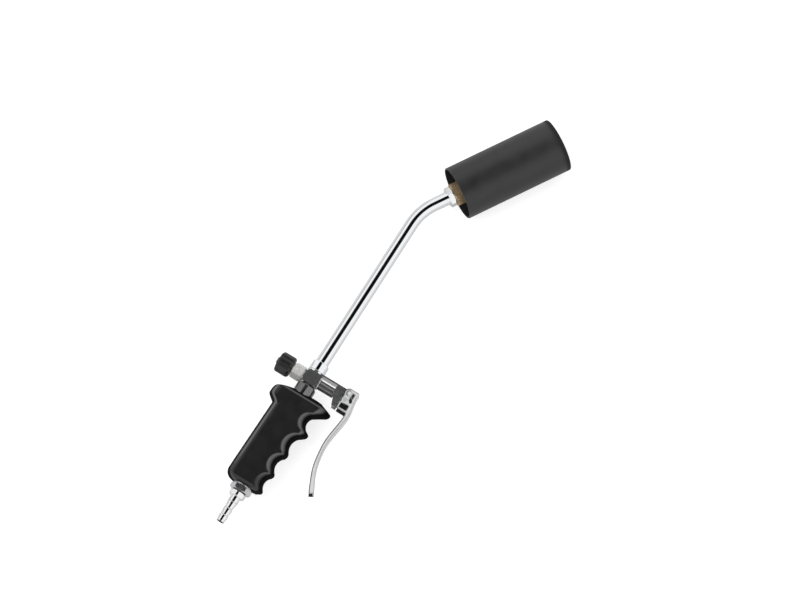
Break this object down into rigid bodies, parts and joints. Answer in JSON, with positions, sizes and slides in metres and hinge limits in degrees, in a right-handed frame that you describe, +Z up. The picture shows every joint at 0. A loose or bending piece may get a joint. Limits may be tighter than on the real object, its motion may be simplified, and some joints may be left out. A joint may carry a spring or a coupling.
{
  "type": "propane torch",
  "caption": "Hand-held roofing torch: barbed hose tail, finger-grooved grip, valve block with a flow knob and a squeeze lever, bent chromed lance and open dark burner bell",
  "frame": {"origin": "on the hose tail's axis, where the hose stops against the collar", "axes": "+X along the gas pipe towards the burner, +Y towards the flow knob, +Z up off the side that the torch lies on"},
  "size_m": [0.4996, 0.1382, 0.053],
  "materials": {
    "nickel": "bright nickel plate",
    "dull_plate": "dull speckled plate",
    "copper": "tarnished copper",
    "zinc": "zinc plate",
    "brass": "turned brass",
    "grip": "moulded black plastic, fine satin",
    "dark_metal": "dark coated brass",
    "rubber": "black rubber",
    "steel": "bright turned steel",
    "spring_steel": "dark spring steel",
    "chrome": "mirror chrome",
    "lever_plate": "bright zinc plate, satin",
    "bracket_plate": "bright plated strip",
    "knob": "moulded black plastic",
    "screw": "grey steel",
    "packing": "white packing",
    "bell": "heat-darkened steel, satin"
  },
  "bodies": {
    "torch": {"hose_tail": "nickel", "tail_washer": "copper", "grip_locknut": "zinc", "grip_washer": "zinc", "gas_pipe": "brass", "grip": "grip", "valve_body": "dark_metal", "valve_seat": "brass", "plunger_spring": "steel", "rod_oring": "rubber", "plunger_housing": "dark_metal", "housing_washer": "steel", "lever_bracket": "bracket_plate", "pivot_pin": "lever_plate", "pivot_clip": "spring_steel", "gland_nut": "dull_plate", "gland_washer": "steel", "stem_packing": "packing", "lance_nut": "chrome", "lance_olive": "brass", "lance_tube": "chrome", "head_nut": "chrome", "injector_holder": "brass", "gas_jet": "brass", "bell_spider": "bell", "spider_nut": "brass", "flame_disc": "bell", "burner_bell": "bell"},
    "lever": {"trigger_lever": "lever_plate", "push_pin": "steel"},
    "plunger": {"plunger_rod": "steel", "valve_seal": "rubber"},
    "stem": {"needle_stem": "steel"},
    "knob": {"control_knob": "knob", "knob_screw": "screw"}
  },
  "joints": [
    {"name": "trigger_pivot", "type": "hinge", "parent": "torch", "child": "lever", "pos_m": [0.1396, -0.0386, 0], "axis": [0, 0, -1], "range_deg": [0, 16], "stiffness_Nm_per_rad": 0.0714, "springref_deg": -49.85},
    {"name": "plunger_slide", "type": "slide", "parent": "torch", "child": "plunger", "axis": [0, 1, 0], "range_m": [0, 0.0019], "deforming": ["plunger_spring"]},
    {"name": "needle_slide", "type": "slide", "parent": "torch", "child": "stem", "axis": [0, 1, 0], "range_m": [0, 0.0015]},
    {"name": "knob_turn", "type": "hinge", "parent": "stem", "child": "knob", "pos_m": [0.1337, 0, 0], "axis": [0, 1, 0], "range_deg": [0, 540]}
  ],
  "couplings": [
    {"joint": "plunger_slide", "follows": "trigger_pivot", "m_per_rad": 0.0068},
    {"joint": "knob_turn", "follows": "needle_slide", "rad_per_m": 6283}
  ]
}
